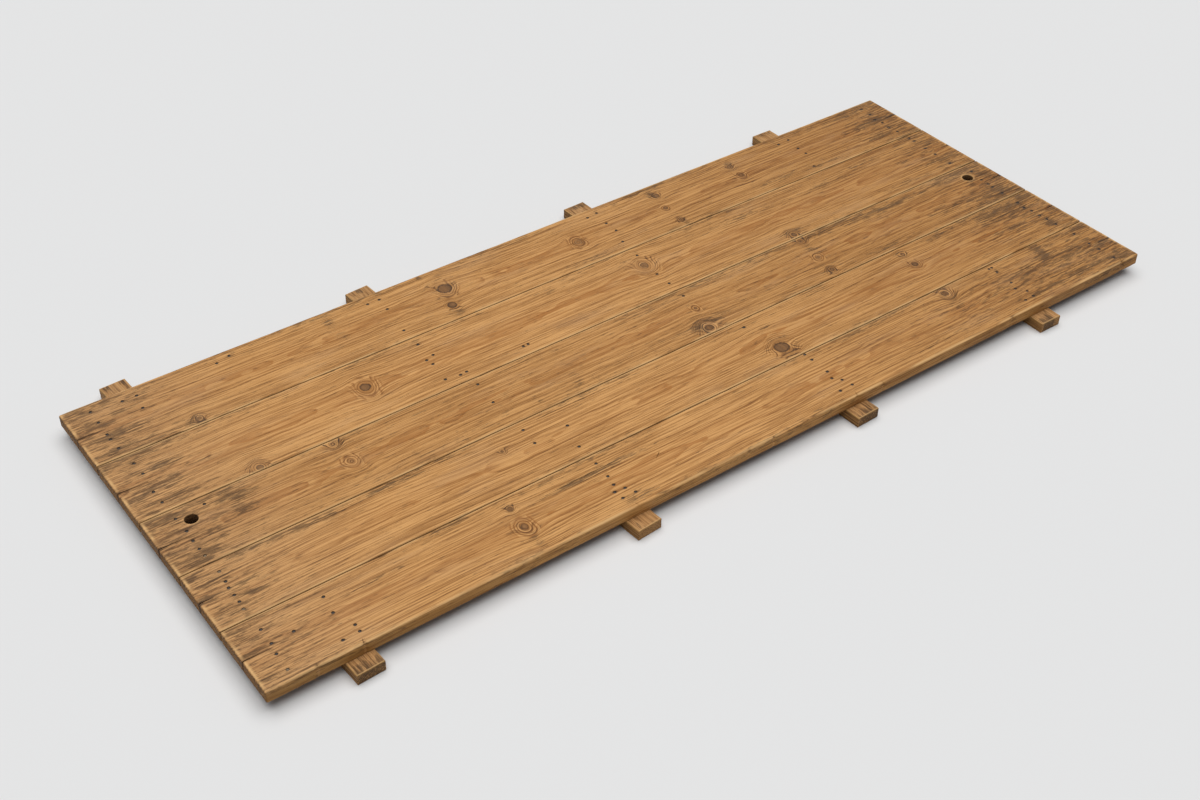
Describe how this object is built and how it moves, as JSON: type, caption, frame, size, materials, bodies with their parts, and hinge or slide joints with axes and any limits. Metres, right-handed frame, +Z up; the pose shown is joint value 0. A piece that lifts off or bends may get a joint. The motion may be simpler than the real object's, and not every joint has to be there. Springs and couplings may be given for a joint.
{
  "type": "boarded timber panel",
  "caption": "Flat timber panel of sawn boards laid edge to edge and nailed across battens, with a hand hole through the middle board near each end, lying on its battens.",
  "frame": {"origin": "on the floor under the middle of the panel's box, at the undersides of the battens", "axes": "+X along the boards to the right end, +Y across them towards the back edge, where the battens stick out further, +Z up"},
  "size_m": [2.516, 1.1158, 0.058],
  "materials": {
    "board_wood": "bare sawn softwood, honey brown, weathered grey towards the ends and worn pale along the edges",
    "batten_wood": "bare planed softwood, brown with dark stains",
    "nail_iron": "dark, lightly rusted iron nail heads"
  },
  "bodies": {
    "root": {"back_board": "board_wood", "second_board": "board_wood", "centre_board": "board_wood", "fourth_board": "board_wood", "front_board": "board_wood", "left_batten": "batten_wood", "left_middle_batten": "batten_wood", "right_middle_batten": "batten_wood", "right_batten": "batten_wood"}
  },
  "joints": []
}
